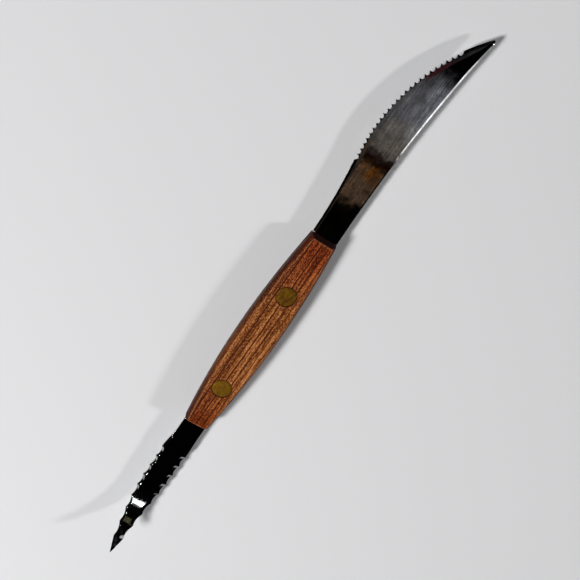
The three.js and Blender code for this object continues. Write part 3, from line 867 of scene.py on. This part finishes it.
# Dim tinted panels above the knife and to its sides, each a little above the last, which little but the
# polished steel shows: reach along x and y, brightness and colour.
panelHeight = 0.9
panelStep = 0.002
across = (-0.262, -0.165)
overhead = (-0.060, 0.095)
inward = (0.120, 0.240)
warm = (1.0, 0.67, 0.45)
bluish = (0.86, 0.88, 1.0)
panels = {
    "warm": {"x": (-0.104, -0.057), "y": across, "glow": 0.118, "colour": warm},
    "warmEdge": {"x": (-0.057, -0.037), "y": (-0.204, -0.165), "glow": 0.118, "colour": warm},
    "warmBack": {"x": (-0.057, -0.037), "y": (-0.262, -0.228), "glow": 0.090, "colour": (1.0, 0.62, 0.38)},
    "maroon": {"x": (-0.042, -0.004), "y": across, "glow": 0.011, "colour": (1.0, 0.32, 0.17)},
    "amber": {"x": (-0.059, -0.032), "y": (-0.230, -0.203), "glow": 0.110, "colour": (1.0, 0.36, 0.03),
              "shape": "ELLIPSE"},
    "near": {"x": (-0.004, 0.062), "y": across, "glow": 0.160, "colour": (1.0, 0.92, 0.84)},
    "far": {"x": (0.062, 0.162), "y": across, "glow": 0.056, "colour": (0.93, 0.92, 1.0)},
    "middle": {"x": (0.062, 0.126), "y": across, "glow": 0.075, "colour": (0.95, 0.93, 0.98)},
    "bright": {"x": (0.030, 0.150), "y": (-0.270, -0.222), "glow": 0.06, "colour": bluish},
    "brightest": {"x": (0.040, 0.146), "y": (-0.270, -0.236), "glow": 0.09, "colour": bluish},
    "bevelNeck": {"x": (-0.200, -0.010), "y": inward, "glow": 0.055, "colour": (1.0, 0.76, 0.60)},
    "bevel": {"x": (-0.010, 0.262), "y": inward, "glow": 0.10, "colour": (1.0, 0.98, 0.98)},
    "bevelRed": {"x": (0.262, 0.400), "y": (0.095, 0.240), "glow": 0.045, "colour": (1.0, 0.22, 0.28)},
    "ceiling": {"x": (-0.500, 0.700), "y": overhead, "glow": 0.022, "colour": white},
    "ceilingMiddle": {"x": (-0.500, 0.360), "y": overhead, "glow": 0.025, "colour": white},
    "ceilingNear": {"x": (-0.500, 0.220), "y": overhead, "glow": 0.050, "colour": white},
    "edgeSide": {"x": (-0.500, 0.500), "y": (0.270, 1.000), "glow": 0.10, "colour": white},
    "backSide": {"x": (-0.500, 0.500), "y": (-0.700, -0.420), "glow": 0.10, "colour": white},
    "olive": {"x": (-0.260, -0.190), "y": (-0.200, -0.110), "glow": 0.07, "colour": (1.0, 0.90, 0.45),
              "shape": "ELLIPSE"},
}
for step, (name, panel) in enumerate(panels.items()):
    (west, east), (south, north) = panel["x"], panel["y"]
    place = ((west + east) / 2, (south + north) / 2, panelHeight + panelStep * step)
    shape = panel.get("shape", "RECTANGLE")
    holder, light = addLamp(name, (east - west, north - south), place, shape)
    light.energy = panel["glow"] * np.pi * light.size * light.size_y
    light.color = panel["colour"]

print("painting the room")
# The room: dark overhead, paler low down beyond the serrated blade's back, and pale all round near the
# floor, where it is the background that the camera and the steel see. That pale part is lower beyond the
# spear blade. Heights and places are parts of a direction of length 1.
room = {
    "dark": 0.0006, "pale": 0.5, "side": (0.75, -0.66, 0.0), "facingFrom": 0.1, "sideFrom": 0.02,
    "sideTo": 0.5, "background": 0.75, "paleFrom": 0.17, "paleTo": 0.34, "paleHigh": 0.42,
    "highFrom": -0.45, "highTo": -0.2,
}
world = bpy.data.worlds.new("room")
bpy.context.scene.world = world
world.use_nodes = True
make = nodeMaker(world.node_tree)
direction = make("TexCoord").outputs["Generated"]
parts = make("SeparateXYZ", {"Vector": direction}).outputs
lowDown = ranged(make, parts["Z"], (room["sideTo"], room["sideFrom"]), (0.0, room["pale"]), "SMOOTHSTEP")
facing = make("VectorMath", {0: direction, 1: room["side"]}, operation="DOT_PRODUCT").outputs["Value"]
oneSide = ranged(make, facing, (room["facingFrom"], 1.0), way="SMOOTHSTEP")
paleTop = ranged(make, parts["X"], (room["highFrom"], room["highTo"]), (room["paleTo"], room["paleHigh"]))
allRound = ranged(make, parts["Z"], (paleTop, room["paleFrom"]), (0.0, room["background"]), "SMOOTHSTEP")
ray = make("LightPath").outputs
mirrored = sum2(make, "MAXIMUM", ray["Is Glossy Ray"], ray["Is Transmission Ray"])
seen = sum2(make, "MAXIMUM", ray["Is Camera Ray"], mirrored)
sideGlow = sum2(make, "MULTIPLY", lowDown, oneSide)
shade = sum2(make, "MAXIMUM", sideGlow, sum2(make, "MULTIPLY", allRound, seen))
background = make("Background", {"Color": sum2(make, "ADD", shade, room["dark"])}).outputs[0]
make("OutputWorld", {"Surface": background})

print("placing the camera")
# The camera leans back from straight down over the table, turned so that the knife lies across the frame.
shot = {"place": (109.57, 54.29, 232.65), "lean": -24.0, "turn": -57.28, "lens": 39.72,
        "sensor": 36, "nearest": 0.01}
camera = bpy.data.objects.new("camera", bpy.data.cameras.new("camera"))
camera.data.sensor_width = shot["sensor"]
camera.data.lens = shot["lens"]
camera.data.clip_start = shot["nearest"]
camera.location = np.array(shot["place"]) * mm
camera.rotation_euler = (np.radians(shot["lean"]), 0, np.radians(shot["turn"]))
bpy.context.scene.collection.objects.link(camera)
bpy.context.scene.camera = camera
bpy.context.scene.view_settings.view_transform = "Standard"
